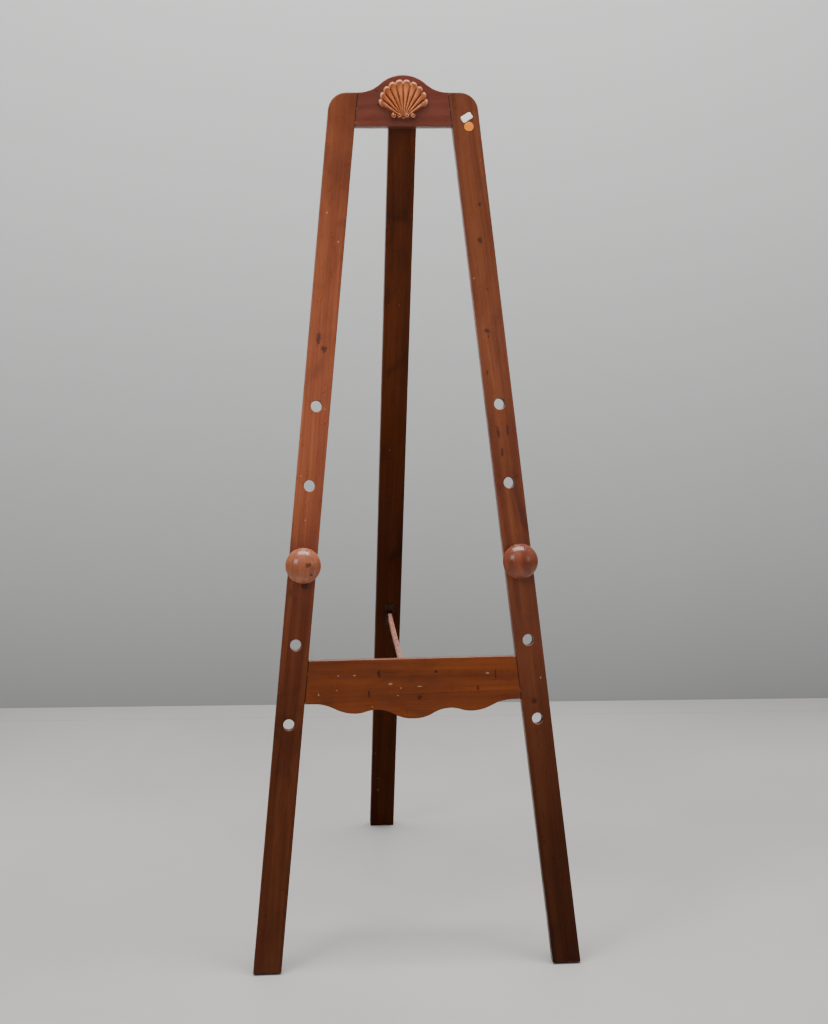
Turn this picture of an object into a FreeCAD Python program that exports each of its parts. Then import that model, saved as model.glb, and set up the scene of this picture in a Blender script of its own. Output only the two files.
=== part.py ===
"""Display easel: two splayed front legs, two rails, a hinged rear leg, a stay and two pegs.

Frames: the front frame is drawn flat, X across, Y back through the boards and Z up the boards,
and is then leaned back. The rear leg is drawn with its hinge pin at the origin, hanging down Z.
The stay is drawn with its pivot at the origin, pointing along -Y. Millimetres throughout.
"""
import FreeCAD, Part
import math
import os
import Sketcher

DIMENSIONS = {
    # front legs
    "leg_width": 45.0,
    "leg_thickness": 20.0,
    "leg_height": 1412.0,
    "foot_spread": 243.0,
    "splay": 5.95,
    "lean": 10.0,
    "top_corner": 30.0,
    "arris": 1.5,
    # peg holes, measured along the leg
    "hole_diameter": 18.0,
    "hole_low": 400.0,
    "hole_pitch": 128.4,
    "hole_count": 5,
    "peg_hole": 3,
    # rails
    "rail_thickness": 20.0,
    "top_rail_end": 55.0,
    "crest_rise": 28.0,
    "cross_top": 500.0,
    "cross_end": 70.0,
    "cross_flat": 14.0,
    "side_lobe": 87.0,
    "side_lobe_at": 94.0,
    "recess": 81.5,
    "recess_at": 60.0,
    "centre_lobe": 97.0,
    "centre_flat": 3.0,
    # dowels in the rail joints
    "dowel_diameter": 8.0,
    "dowel_length": 40.0,
    "dowel_clearance": 0.05,
    "dowel_end_gap": 1.0,
    "top_dowel_gap": 26.0,
    "cross_dowel_gap": 34.0,
    # carved shell
    "shell_hub": 13.0,
    "shell_foot": 6.5,
    "shell_reach": 57.5,
    "shell_side_reach": 41.0,
    "shell_relief": 5.0,
    "rib_count": 10,
    "rib_pitch": 12.0,
    "rib_round": 1.06,
    "groove_start": 16.0,
    "groove_width": 2.2,
    "scroll_radius": 4.0,
    "scroll_at": 15.6,
    "scroll_rise": 4.0,
    "curl_radius": 3.2,
    "curl_at": 6.0,
    "curl_rise": 2.6,
    "scroll_relief": 4.4,
    # hinge
    "opening": 29.05,
    "hinge_width": 40.0,
    "hinge_rise": 4.3,
    "leaf_thickness": 1.5,
    "leaf_height": 24.0,
    "knuckle_radius": 3.0,
    "knuckle_gap": 0.3,
    "hinge_pin": 3.0,
    "pin_clearance": 0.05,
    "screw_shank": 3.0,
    "screw_head": 6.0,
    "screw_length": 14.0,
    "screw_clearance": 0.05,
    "leaf_screw_at": 13.0,
    "leaf_screw_rise": 14.9,
    "leaf_margin": 0.5,
    "knuckle_play": 0.2,
    # rear leg, stood off the hinge pin
    "rear_width": 45.0,
    "rear_thickness": 20.0,
    "rear_set": 2.5,
    # stay and its bracket
    "stay_slope": 2.6,
    "stay_off": 9.0,
    "stay_side": 2.0,
    "stay_width": 6.0,
    "stay_height": 12.0,
    "stay_pin": 4.0,
    "bracket_gap": 8.0,
    "bracket_sheet": 1.5,
    "bracket_length": 44.0,
    "bracket_width": 16.0,
    "bracket_screw_at": 15.5,
    "cheek_length": 15.0,
    "pin_head": 1.2,
    "pin_head_radius": 3.4,
    # hook on the cross rail
    "hook_drop": 12.0,
    "hook_reach": 32.0,
    "hook_side": 14.5,
    "hook_tail": 7.0,
    "hook_rod": 5.0,
    "hook_embed": 16.0,
    "notch_clearance": 0.4,
    "notch_depth": 6.6,
    "notch_slope": 32.0,
    "stay_nose": 8.0,
    "nose_ease": 2.0,
    # pegs
    "knob_diameter": 57.0,
    "knob_length": 36.0,
    "knob_rim": 20.0,
    "knob_rim_round": 3.5,
    "knob_flare": 12.0,
    "knob_neck": 24.0,
    "knob_neck_at": 8.0,
    "knob_foot": 32.0,
    "knob_foot_height": 3.0,
    "peg_clearance": 0.08,
    "peg_socket": 14.0,
    "peg_tail": 4.0,
}

doc = FreeCAD.newDocument("easel")
sheet = doc.addObject("Spreadsheet::Sheet", "dims")
for row, (alias, number) in enumerate(DIMENSIONS.items(), start=1):
    sheet.set("A%d" % row, alias)
    sheet.set("B%d" % row, str(number))
    sheet.setAlias("B%d" % row, alias)
doc.recompute()

parts_out = []


def size(expression):
    """The number that an expression in the sheet's aliases stands for."""
    result = sheet.evalExpression(expression)
    return float(getattr(result, "Value", result))


def bind(thing, **expressions):
    """Tie an object's sizes to expressions in the sheet's aliases."""
    for prop, expression in expressions.items():
        thing.setExpression(prop, in_sheet(expression))


def in_sheet(expression):
    """Write dims. in front of each alias."""
    words = []
    word = ""
    for letter in expression + " ":
        if letter.isalnum() or letter in "_.":
            word += letter
            continue
        words.append("dims." + word if word in DIMENSIONS else word)
        words.append(letter)
        word = ""
    return "".join(words).strip()


def about(x, y, z, degrees=0.0, place=(0.0, 0.0, 0.0)):
    """A placement that turns about the axis x, y, z and then moves to place."""
    turn = FreeCAD.Rotation(FreeCAD.Vector(x, y, z), degrees)
    return FreeCAD.Placement(FreeCAD.Vector(*place), turn)


# Where things stand

LEAN = size("lean")
SPLAY = math.radians(size("splay"))
OPENING = size("opening")
REAR_TILT = OPENING - LEAN
LEG_WIDTH = size("leg_width")
RAIL_BACK = size("rail_thickness")
PIN_UP = size("leg_height - top_rail_end + hinge_rise")
PIN_BACK = size("rail_thickness + knuckle_radius + knuckle_gap")
FOOT_LIFT = size("leg_thickness") * math.sin(math.radians(LEAN))


def leaned(x, back, up):
    """A point of the flat front frame, after it leans back and stands on its rear arrises."""
    lean = math.radians(LEAN)
    return FreeCAD.Vector(
        x,
        up * math.sin(lean) + back * math.cos(lean),
        up * math.cos(lean) - back * math.sin(lean) + FOOT_LIFT,
    )


def hung(x, back, up):
    """A point of the rear leg's own frame, after it swings out from its hinge pin."""
    tilt = math.radians(REAR_TILT)
    pin = leaned(0.0, PIN_BACK, PIN_UP)
    return FreeCAD.Vector(
        x,
        pin.y + back * math.cos(tilt) - up * math.sin(tilt),
        pin.z + back * math.sin(tilt) + up * math.cos(tilt),
    )


REAR_SET = size("rear_set")
REAR_TOP = -size("knuckle_radius")
REAR_FOOT = -(hung(0, 0, 0).z - REAR_SET * math.sin(math.radians(REAR_TILT)))
REAR_FOOT /= math.cos(math.radians(REAR_TILT))
REAR_BACK = hung(0, size("rear_thickness") - REAR_SET, REAR_FOOT).y
CENTRE = FreeCAD.Vector(0, -REAR_BACK / 2, 0)

FRONT = about(1, 0, 0, -LEAN, leaned(0, 0, 0) + CENTRE)
REAR = about(1, 0, 0, REAR_TILT, hung(0, 0, 0) + CENTRE)

HOOK_UP = size("cross_top - hook_drop")
HOOK_BACK = size("rail_thickness + hook_reach")
PRONG = leaned(-size("hook_side"), HOOK_BACK, HOOK_UP)
SLOPE = math.tan(math.radians(size("stay_slope")))
NO_DROP = hung(size("stay_side"), -size("rear_set + stay_off"), 0)
DROP_TURN = math.cos(math.radians(REAR_TILT)) - math.sin(math.radians(REAR_TILT)) * SLOPE
STAY_DROP = ((NO_DROP.y - PRONG.y) * SLOPE + NO_DROP.z - PRONG.z) / DROP_TURN
STAY_PIVOT = hung(size("stay_side"), -size("rear_set + stay_off"), -STAY_DROP)
TO_PRONG = PRONG - STAY_PIVOT
OVER_PRONG = size("hook_rod / 2 + notch_clearance + stay_height / 2 - notch_depth")
PRONG_REACH = math.hypot(TO_PRONG.y, TO_PRONG.z)
STAY_RISE = math.degrees(math.atan2(TO_PRONG.z, -TO_PRONG.y) + math.asin(OVER_PRONG / PRONG_REACH))
FLAT_REACH = math.sqrt(PRONG_REACH**2 - OVER_PRONG**2)
STAY_SKEW = math.degrees(math.atan2(TO_PRONG.x, FLAT_REACH))
STAY_REACH = math.hypot(TO_PRONG.x, FLAT_REACH)
STAY = about(1, 0, 0, -STAY_RISE, STAY_PIVOT + CENTRE) * about(0, 0, 1, STAY_SKEW)


# Building blocks


def keep(thing, name, placement):
    """Label a finished sub-part, place it and put it on the list to be written."""
    thing.Label = name
    thing.Placement = placement
    parts_out.append(thing)
    return thing


def plane_of(body, role):
    for feature in body.Origin.OriginFeatures:
        if feature.Role == role:
            return feature
    raise ValueError("no plane " + role)


def new_sketch(body, name, role="XZ_Plane"):
    sketch = body.newObject("Sketcher::SketchObject", name)
    sketch.AttachmentSupport = [(plane_of(body, role), "")]
    sketch.MapMode = "FlatFace"
    return sketch


def pin_point(sketch, geometry, end, x, y):
    """Hold one end of a sketch line or arc at a pair of expressions."""
    for kind, expression in (("DistanceX", x), ("DistanceY", y)):
        index = sketch.addConstraint(
            Sketcher.Constraint(kind, -1, 1, geometry, end, size(in_sheet(expression)))
        )
        sketch.setExpression("Constraints[%d]" % index, in_sheet(expression))


def outline(sketch, steps):
    """Draw a closed outline.

    Each step is (x, y) for a straight edge to the next point, or (x, y, radius, way) for an
    arc to it, where way is 1 for an arc that turns left and -1 for one that turns right.
    """
    points = [FreeCAD.Vector(size(in_sheet(s[0])), size(in_sheet(s[1])), 0) for s in steps]
    ends = []
    for index, step in enumerate(steps):
        start = points[index]
        finish = points[(index + 1) % len(points)]
        if len(step) == 2:
            geometry = sketch.addGeometry(Part.LineSegment(start, finish))
            ends.append((geometry, 1, 2))
            continue
        radius = size(in_sheet(step[2]))
        half = (finish - start) / 2
        rise = math.sqrt(max(radius**2 - half.Length**2, 0.0))
        side = FreeCAD.Vector(-half.y, half.x, 0).normalize() * rise * step[3]
        centre = start + half + side
        circle = Part.Circle(centre, FreeCAD.Vector(0, 0, 1), radius)
        first, last = (start, finish) if step[3] > 0 else (finish, start)
        angles = [math.atan2(p.y - centre.y, p.x - centre.x) for p in (first, last)]
        geometry = sketch.addGeometry(Part.ArcOfCircle(circle, angles[0], angles[1]))
        ends.append((geometry, 1, 2) if step[3] > 0 else (geometry, 2, 1))
        held = sketch.addConstraint(Sketcher.Constraint("Radius", geometry, radius))
        sketch.setExpression("Constraints[%d]" % held, in_sheet(step[2]))
    for index, (geometry, begin, _) in enumerate(ends):
        before, _, finish = ends[index - 1]
        sketch.addConstraint(Sketcher.Constraint("Coincident", before, finish, geometry, begin))
        pin_point(sketch, geometry, begin, steps[index][0], steps[index][1])


def circle_at(sketch, x, y, diameter):
    centre = FreeCAD.Vector(size(in_sheet(x)), size(in_sheet(y)), 0)
    radius = size(in_sheet(diameter)) / 2
    geometry = sketch.addGeometry(Part.Circle(centre, FreeCAD.Vector(0, 0, 1), radius))
    held = sketch.addConstraint(Sketcher.Constraint("Diameter", geometry, 2 * radius))
    sketch.setExpression("Constraints[%d]" % held, in_sheet(diameter))
    pin_point(sketch, geometry, 3, x, y)


def board(name, steps, thickness):
    """A board cut to an outline in XZ, its front face at Y 0 and its back at the thickness."""
    body = doc.addObject("PartDesign::Body", name)
    sketch = new_sketch(body, name + "_outline")
    outline(sketch, steps)
    pad = body.newObject("PartDesign::Pad", name + "_pad")
    pad.Profile = sketch
    bind(pad, Length=thickness)
    pad.Reversed = True
    doc.recompute()
    return body, pad


def ease(body, base, name, radius, wanted):
    """Round the edges of base for which wanted(edge) is true."""
    names = ["Edge%d" % (i + 1) for i, edge in enumerate(base.Shape.Edges) if wanted(edge)]
    fillet = body.newObject("PartDesign::Fillet", name)
    fillet.Base = (base, names)
    bind(fillet, Radius=radius)
    doc.recompute()
    return fillet


def cylinder(name, radius, height, placement):
    solid = doc.addObject("Part::Cylinder", name)
    bind(solid, Radius=radius, Height=height)
    solid.Placement = placement
    return solid


def block(name, length, width, height, corner):
    """A box along X, Y and Z from its low corner."""
    solid = doc.addObject("Part::Box", name)
    bind(solid, Length=length, Width=width, Height=height)
    place = [size(in_sheet(c)) for c in corner]
    solid.Placement = FreeCAD.Placement(FreeCAD.Vector(*place), FreeCAD.Rotation())
    return solid


def cone(name, start, end, height, placement):
    solid = doc.addObject("Part::Cone", name)
    bind(solid, Radius1=start, Radius2=end, Height=height)
    solid.Placement = placement
    return solid


def fuse(name, pieces):
    union = doc.addObject("Part::MultiFuse", name)
    union.Shapes = pieces
    return union


def group(name, pieces):
    """Separate solids that make one node."""
    compound = doc.addObject("Part::Compound", name)
    compound.Links = pieces
    return compound


def cut(name, base, tools):
    """Take each tool away from base."""
    for number, tool in enumerate(tools):
        result = doc.addObject("Part::Cut", "%s_cut%d" % (name, number))
        result.Base = base
        result.Tool = tool
        base = result
    return base


def toward(direction, place):
    """A placement that turns +Z to a direction and moves to place."""
    turn = FreeCAD.Rotation(FreeCAD.Vector(0, 0, 1), FreeCAD.Vector(*direction))
    return FreeCAD.Placement(FreeCAD.Vector(*place), turn)


def wood_screw(name, place, direction):
    """A countersunk screw whose head is flush at place and whose shank points along direction."""
    place = FreeCAD.Vector(*place)
    head_depth = "(screw_head - screw_shank) / 2"
    head = cone(name + "_head", "screw_head / 2", "screw_shank / 2", head_depth,
                toward(direction, place))
    shank = cylinder(name + "_shank", "screw_shank / 2", "screw_length", toward(direction, place))
    return fuse(name, [head, shank])


def screw_hole(name, place, direction):
    """The countersink and pilot hole that a wood screw leaves, with a little room."""
    place = FreeCAD.Vector(*place)
    grown = "screw_head / 2 + screw_clearance"
    pilot = "screw_shank / 2 + screw_clearance"
    head = cone(name + "_head", grown, pilot, "(screw_head - screw_shank) / 2",
                toward(direction, place))
    shank = cylinder(name + "_shank", pilot, "screw_length + screw_clearance",
                     toward(direction, place))
    return fuse(name, [head, shank])


# Front legs and rails

def inner_edge(up):
    """How far from the middle a front leg's inner edge stands at a height up the frame."""
    return "(foot_spread - (%s) * tan(splay * 1deg) - leg_width / 2 / cos(splay * 1deg))" % up


def dowel_heights(low, high, gap):
    """Heights up the frame of the two dowels of a joint that runs from low to high."""
    middle = "((%s) + (%s)) / 2" % (low, high)
    return ["%s - %s / 2" % (middle, gap), "%s + %s / 2" % (middle, gap)]


JOINTS = {
    "top_rail": dowel_heights("leg_height - top_rail_end", "leg_height", "top_dowel_gap"),
    "cross_rail": dowel_heights("cross_top - cross_end", "cross_top", "cross_dowel_gap"),
}


def along_leg(up):
    """The distance along a leg at which its inner edge is a height up the frame."""
    return "((%s) + leg_width / 2 * sin(splay * 1deg)) / cos(splay * 1deg)" % up


def front_leg(side, name):
    """One front leg, drawn upright about its centre line; side is 1 for right, -1 for left."""
    slope = "%d * tan(splay * 1deg)" % -side
    half = "leg_width / 2"
    top = "leg_height / cos(splay * 1deg)"
    steps = [
        ("-" + half, "-%s * %s" % (half, slope)),
        (half, "%s * %s" % (half, slope)),
        (half, "%s + %s * %s" % (top, half, slope)),
        ("-" + half, "%s - %s * %s" % (top, half, slope)),
    ]
    body, pad = board(name, steps, "leg_thickness")
    outer = side * LEG_WIDTH / 2
    top_edge = size(in_sheet(top)) - LEG_WIDTH

    def is_top_corner(edge):
        low, high = edge.BoundBox.ZMin, edge.BoundBox.ZMax
        upright = abs(high - low) < 1e-6 and edge.BoundBox.XLength < 1e-6
        return upright and low > top_edge and abs(edge.BoundBox.XMin - outer) < 1e-6

    rounded = ease(body, pad, name + "_corner", "top_corner", is_top_corner)

    def is_long(edge):
        return edge.BoundBox.ZLength > 10 * LEG_WIDTH

    ease(body, rounded, name + "_arrises", "arris", is_long)

    holes = new_sketch(body, name + "_peg_holes")
    circle_at(holes, "0", "hole_low", "hole_diameter")
    bored = body.newObject("PartDesign::Pocket", name + "_bored")
    bored.Profile = holes
    bored.Type = 1
    bored.Midplane = True
    doc.recompute()
    row_of_holes = body.newObject("PartDesign::LinearPattern", name + "_row")
    row_of_holes.Originals = [bored]
    row_of_holes.Direction = (holes, ["V_Axis"])
    bind(row_of_holes, Length="hole_pitch * (hole_count - 1)", Occurrences="hole_count")
    body.Tip = row_of_holes
    doc.recompute()

    sockets = new_sketch(body, name + "_sockets", "YZ_Plane")
    sockets.AttachmentOffset = about(0, 0, 1, 0, (0, 0, -side * LEG_WIDTH / 2))
    for heights in JOINTS.values():
        for up in heights:
            circle_at(sockets, "rail_thickness / 2", along_leg(up),
                      "dowel_diameter + 2 * dowel_clearance")
    drilled = body.newObject("PartDesign::Pocket", name + "_drilled")
    drilled.Profile = sockets
    bind(drilled, Length="dowel_length / 2 + dowel_end_gap")
    drilled.Reversed = side > 0
    doc.recompute()
    stand = about(0, 1, 0, -side * size("splay"), (side * size("foot_spread"), 0, 0))
    keep(body, name, FRONT * stand)


def dowel_axes(joint):
    """Where each dowel of a joint crosses the leg's inner edge, and its way into the leg."""
    axes = []
    for side in (-1, 1):
        for up in JOINTS[joint]:
            x = side * size(in_sheet(inner_edge(up)))
            axes.append(((x, RAIL_BACK / 2, size(in_sheet(up))),
                         (side * math.cos(SPLAY), 0, math.sin(SPLAY))))
    return axes


def dowels(joint):
    """The four dowels of one rail."""
    pins = []
    for number, (place, way) in enumerate(dowel_axes(joint)):
        start = FreeCAD.Vector(*place) - FreeCAD.Vector(*way) * size("dowel_length / 2")
        pins.append(cylinder("%s_dowel%d" % (joint, number), "dowel_diameter / 2", "dowel_length",
                             toward(way, start)))
    keep(group(joint + "_dowel_set", pins), joint + "_dowels", FRONT)


def dowel_sockets(joint):
    """The holes for them in the rail's ends."""
    holes = []
    for number, (place, way) in enumerate(dowel_axes(joint)):
        back = tuple(-part for part in way)
        holes.append(cylinder("%s_socket%d" % (joint, number), "dowel_diameter / 2 + dowel_clearance",
                              "dowel_length / 2 + dowel_end_gap", toward(back, place)))
    return holes


def ogee(x_from, y_from, x_to, y_to, way):
    """The two arcs of an S from one level to another, level at both ends."""
    run = "((%s) - (%s)) / 2" % (x_to, x_from)
    rise = "((%s) - (%s)) / 2" % (y_to, y_from)
    radius = "((%s)^2 + (%s)^2) / (2 * abs(%s))" % (run, rise, rise)
    middle = ("(%s) + %s" % (x_from, run), "(%s) + %s" % (y_from, rise))
    return [(x_from, y_from, radius, way), (*middle, radius, -way)]


def top_rail():
    low = "leg_height - top_rail_end"
    high = "leg_height"
    crest = "leg_height + crest_rise"
    low_end = inner_edge(low)
    high_end = inner_edge(high)
    steps = [("-" + low_end, low), (low_end, low)]
    steps += ogee(high_end, high, "0", crest, -1)
    steps += ogee("0", crest, "-" + high_end, high, 1)
    steps += [("-" + high_end, high)]
    body, _ = board("top_rail_board", steps, "rail_thickness")
    holes = dowel_sockets("top_rail")
    for number, (place, way) in enumerate(rail_leaf_screws()):
        holes.append(screw_hole("rail_pilot%d" % number, place, way))
    keep(cut("top_rail", body, [fuse("top_rail_holes", holes)]), "top_rail", FRONT)


def cross_rail():
    top = "cross_top"
    end = "cross_top - cross_end"
    top_end = inner_edge(top)
    low_end = inner_edge(end)
    levels = [
        (low_end + " - cross_flat", end),
        ("side_lobe_at", "cross_top - side_lobe"),
        ("recess_at", "cross_top - recess"),
        ("centre_flat", "cross_top - centre_lobe"),
    ]
    steps = [(top_end, top), ("-" + top_end, top), ("-" + low_end, end)]
    ways = [-1, 1, -1]
    for (x_from, y_from), (x_to, y_to), way in zip(levels, levels[1:], ways):
        steps += ogee("-(%s)" % x_from, y_from, "-(%s)" % x_to, y_to, way)
    steps += [("-centre_flat", levels[-1][1])]
    back = levels[::-1]
    for (x_from, y_from), (x_to, y_to), way in zip(back, back[1:], (1, -1, 1)):
        steps += ogee(x_from, y_from, x_to, y_to, way)
    steps += [levels[0], (low_end, end)]
    body, _ = board("cross_rail_board", steps, "rail_thickness")
    holes = dowel_sockets("cross_rail")
    holes.append(cylinder("hook_hole", "hook_rod / 2 + pin_clearance", "hook_embed",
                          toward((0, -1, 0), (0, RAIL_BACK, HOOK_UP))))
    keep(cut("cross_rail", body, [fuse("cross_rail_holes", holes)]), "cross_rail", FRONT)


def shell_ornament():
    """A scallop plate: a round tip for each rib, grooves between them and scrolls at the foot.

    It is drawn with its face at Y 0, so it is set forward by its own relief.
    """
    hub = "(leg_height - top_rail_end + shell_hub)"
    count = int(size("rib_count"))
    ways = []
    valleys = []
    for number in range(count + 1):
        turn = math.radians(size("rib_pitch") * (number - count / 2))
        fall = (2 * number / count - 1) ** 2
        reach = "(shell_reach - (shell_reach - shell_side_reach) * %.4f)" % fall
        ways.append((math.sin(turn), 0, math.cos(turn)))
        valleys.append(("%s * %.5f" % (reach, ways[-1][0]),
                        "%s + %s * %.5f" % (hub, reach, ways[-1][2])))
    steps = []
    for near, far in zip(valleys, valleys[1:]):
        chord = "sqrt((%s - (%s))^2 + (%s - (%s))^2)" % (far[0], near[0], far[1], near[1])
        steps.append((*near, chord + " / 2 * rib_round", -1))
    steps += [valleys[-1], ("scroll_at", hub + " + scroll_rise"), ("shell_foot", hub),
              ("-shell_foot", hub), ("-scroll_at", hub + " + scroll_rise")]
    body, _ = board("shell_plate", steps, "shell_relief")

    centre = size(hub)
    discs = []
    for side in (-1, 1):
        for name in ("scroll", "curl"):
            place = (side * size(name + "_at"), size("shell_relief"), centre + size(name + "_rise"))
            discs.append(cylinder("%s%d" % (name, side + 1), name + "_radius", "scroll_relief",
                                  toward((0, -1, 0), place)))
    grooves = []
    start = size("groove_start")
    corner = -size("groove_width / 2")
    for number, way in enumerate(ways[1:-1]):
        groove = block("groove%d" % number, "groove_width", "groove_width", "shell_reach",
                       ("0", "0", "0"))
        spring = (way[0] * start, 0, centre + way[2] * start)
        groove.Placement = toward(way, spring) * about(0, 0, 1, 45)
        groove.Placement *= about(0, 0, 1, 0, (corner, corner, 0))
        grooves.append(groove)
    solid = cut("shell", fuse("shell_solid", [body] + discs), grooves)
    keep(solid, "shell_ornament", FRONT * about(0, 0, 1, 0, (0, -size("shell_relief"), 0)))


# Hinge


def knuckles(name, turns):
    """The knuckles of one leaf, about the pin at the origin: turns picks which of the five."""
    pitch = "hinge_width / 5"
    rolls = []
    for turn in turns:
        start = size("hinge_width") * (turn / 5 - 0.5) + size("knuckle_play / 2")
        rolls.append(cylinder("%s%d" % (name, turn), "knuckle_radius", pitch + " - knuckle_play",
                              toward((1, 0, 0), (start, 0, 0))))
    return rolls


def pin_bore(name):
    """The hole for the hinge pin through a leaf's knuckles."""
    start = -size("hinge_width") / 2 - 1
    return cylinder(name, "hinge_pin / 2 + pin_clearance", "hinge_width + 2",
                    toward((1, 0, 0), (start, 0, 0)))


def slot_for(name, turns):
    """Room in a leaf for the other leaf's knuckles."""
    rooms = []
    for turn in turns:
        start = size("hinge_width") * (turn / 5 - 0.5) - size("knuckle_play / 2")
        rooms.append(cylinder("%s%d" % (name, turn), "knuckle_radius + knuckle_gap",
                              "hinge_width / 5 + knuckle_play", toward((1, 0, 0), (start, 0, 0))))
    return rooms


RAIL_TURNS = (0, 2, 4)
LEG_TURNS = (1, 3)
ON_PIN = FRONT * about(1, 0, 0, 0, (0, PIN_BACK, PIN_UP))


def rail_leaf_screws():
    """Head and way of each screw that holds the fixed leaf, in the front frame."""
    high = PIN_UP + size("leaf_screw_rise")
    face = RAIL_BACK + size("leaf_thickness")
    across = size("leaf_screw_at")
    return [((x, face, high), (0, -1, 0)) for x in (-across, 0, across)]


def leg_leaf_screws():
    """Head and way of each screw that holds the moving leaf, in the rear leg's frame."""
    face = REAR_TOP + size("leaf_thickness")
    across = size("leaf_screw_at")
    middle = size("rear_thickness / 2")
    return [((x, middle, face), (0, 0, -1)) for x in (-across, across)]


def hinge():
    back = -PIN_BACK + RAIL_BACK
    plate = block("rail_leaf_plate", "hinge_width", "leaf_thickness", "leaf_height",
                  ("-hinge_width / 2", "-knuckle_radius - knuckle_gap", "0"))
    fixed = fuse("rail_leaf_solid", [plate] + knuckles("rail_knuckle", RAIL_TURNS))
    holes = [pin_bore("rail_leaf_bore")] + slot_for("rail_leaf_room", LEG_TURNS)
    for number, (place, way) in enumerate(rail_leaf_screws()):
        near = (place[0], back + size("leaf_thickness"), place[2] - PIN_UP)
        holes.append(screw_hole("rail_leaf_hole%d" % number, near, way))
    keep(cut("hinge_rail_leaf", fixed, holes), "hinge_rail_leaf", ON_PIN)

    depth = "rear_thickness - rear_set - leaf_margin"
    plate = block("leg_leaf_plate", "hinge_width", depth, "leaf_thickness",
                  ("-hinge_width / 2", "0", "-knuckle_radius"))
    moving = fuse("leg_leaf_solid", [plate] + knuckles("leg_knuckle", LEG_TURNS))
    holes = [pin_bore("leg_leaf_bore")] + slot_for("leg_leaf_room", RAIL_TURNS)
    for number, (place, way) in enumerate(leg_leaf_screws()):
        holes.append(screw_hole("leg_leaf_hole%d" % number, place, way))
    keep(cut("hinge_leg_leaf", moving, holes), "hinge_leg_leaf", REAR)

    pin = cylinder("hinge_pin_rod", "hinge_pin / 2", "hinge_width",
                   toward((1, 0, 0), (-size("hinge_width") / 2, 0, 0)))
    keep(pin, "hinge_pin", ON_PIN * pin.Placement)

    screws = [wood_screw("rail_screw%d" % n, *s) for n, s in enumerate(rail_leaf_screws())]
    keep(group("rail_screw_set", screws), "hinge_rail_screws", FRONT)
    screws = [wood_screw("leg_screw%d" % n, *s) for n, s in enumerate(leg_leaf_screws())]
    keep(group("leg_screw_set", screws), "hinge_leg_screws", REAR)


# Rear leg, stay bracket and stay


def bracket_screws():
    """Head and way of each screw that holds the stay's bracket, in the rear leg's frame."""
    face = -size("rear_set + bracket_sheet")
    centre = -STAY_DROP
    reach = size("bracket_screw_at")
    side = size("stay_side")
    return [((side, face, centre + step), (0, 1, 0)) for step in (-reach, reach)]


def rear_leg():
    half = "rear_width / 2"
    length = "%.6f" % -REAR_FOOT
    steps = [("-" + half, "-" + length), (half, "-" + length),
             (half, "-knuckle_radius"), ("-" + half, "-knuckle_radius")]
    body, pad = board("rear_leg_board", steps, "rear_thickness")
    ease(body, pad, "rear_leg_arrises", "arris", lambda e: e.BoundBox.ZLength > 10 * LEG_WIDTH)
    body.Placement = about(0, 0, 1, 0, (0, -REAR_SET, 0))
    holes = []
    for number, (place, way) in enumerate(leg_leaf_screws() + bracket_screws()):
        holes.append(screw_hole("leg_pilot%d" % number, place, way))
    keep(cut("rear_leg", body, [fuse("rear_leg_holes", holes)]), "rear_leg", REAR)


ON_LEG = (size("stay_side"), -size("rear_set + stay_off"), -STAY_DROP)
PIVOT_ON_LEG = REAR * about(1, 0, 0, 0, ON_LEG)


def stay_bracket():
    """A folded sheet bracket: a base on the leg and a cheek each side of the stay."""
    base = block("bracket_base", "bracket_width", "bracket_sheet", "bracket_length",
                 ("-bracket_width / 2", "stay_off - bracket_sheet", "-bracket_length / 2"))
    cheeks = []
    for side in (-1, 1):
        inner = "bracket_gap / 2" if side > 0 else "-bracket_gap / 2 - bracket_sheet"
        plate = block("cheek%d" % (side + 1), "bracket_sheet", "stay_off", "cheek_length",
                      (inner, "0", "-cheek_length / 2"))
        round_end = cylinder("cheek_end%d" % (side + 1), "cheek_length / 2", "bracket_sheet",
                             toward((1, 0, 0), (size(in_sheet(inner)), 0, 0)))
        cheeks += [plate, round_end]
    solid = fuse("bracket_solid", [base] + cheeks)
    width = size("bracket_width")
    holes = [cylinder("bracket_bore", "stay_pin / 2 + pin_clearance", "2 * bracket_width",
                      toward((1, 0, 0), (-width, 0, 0)))]
    for number, (place, way) in enumerate(bracket_screws()):
        near = (0, size("stay_off - bracket_sheet"), place[2] + STAY_DROP)
        holes.append(screw_hole("bracket_hole%d" % number, near, way))
    keep(cut("stay_bracket", solid, holes), "stay_bracket", PIVOT_ON_LEG)

    screws = [wood_screw("bracket_screw%d" % n, *s) for n, s in enumerate(bracket_screws())]
    keep(group("bracket_screw_set", screws), "stay_bracket_screws", REAR)

    shank = "bracket_gap + 2 * bracket_sheet"
    half = size(in_sheet("(%s) / 2" % shank))
    rod = cylinder("stay_pin_rod", "stay_pin / 2", shank, toward((1, 0, 0), (-half, 0, 0)))
    heads = []
    for start in (-half - size("pin_head"), half):
        heads.append(cylinder("stay_pin_head%d" % len(heads), "pin_head_radius", "pin_head",
                              toward((1, 0, 0), (start, 0, 0))))
    keep(fuse("stay_pin_solid", [rod] + heads), "stay_pivot_pin", PIVOT_ON_LEG)


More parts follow.
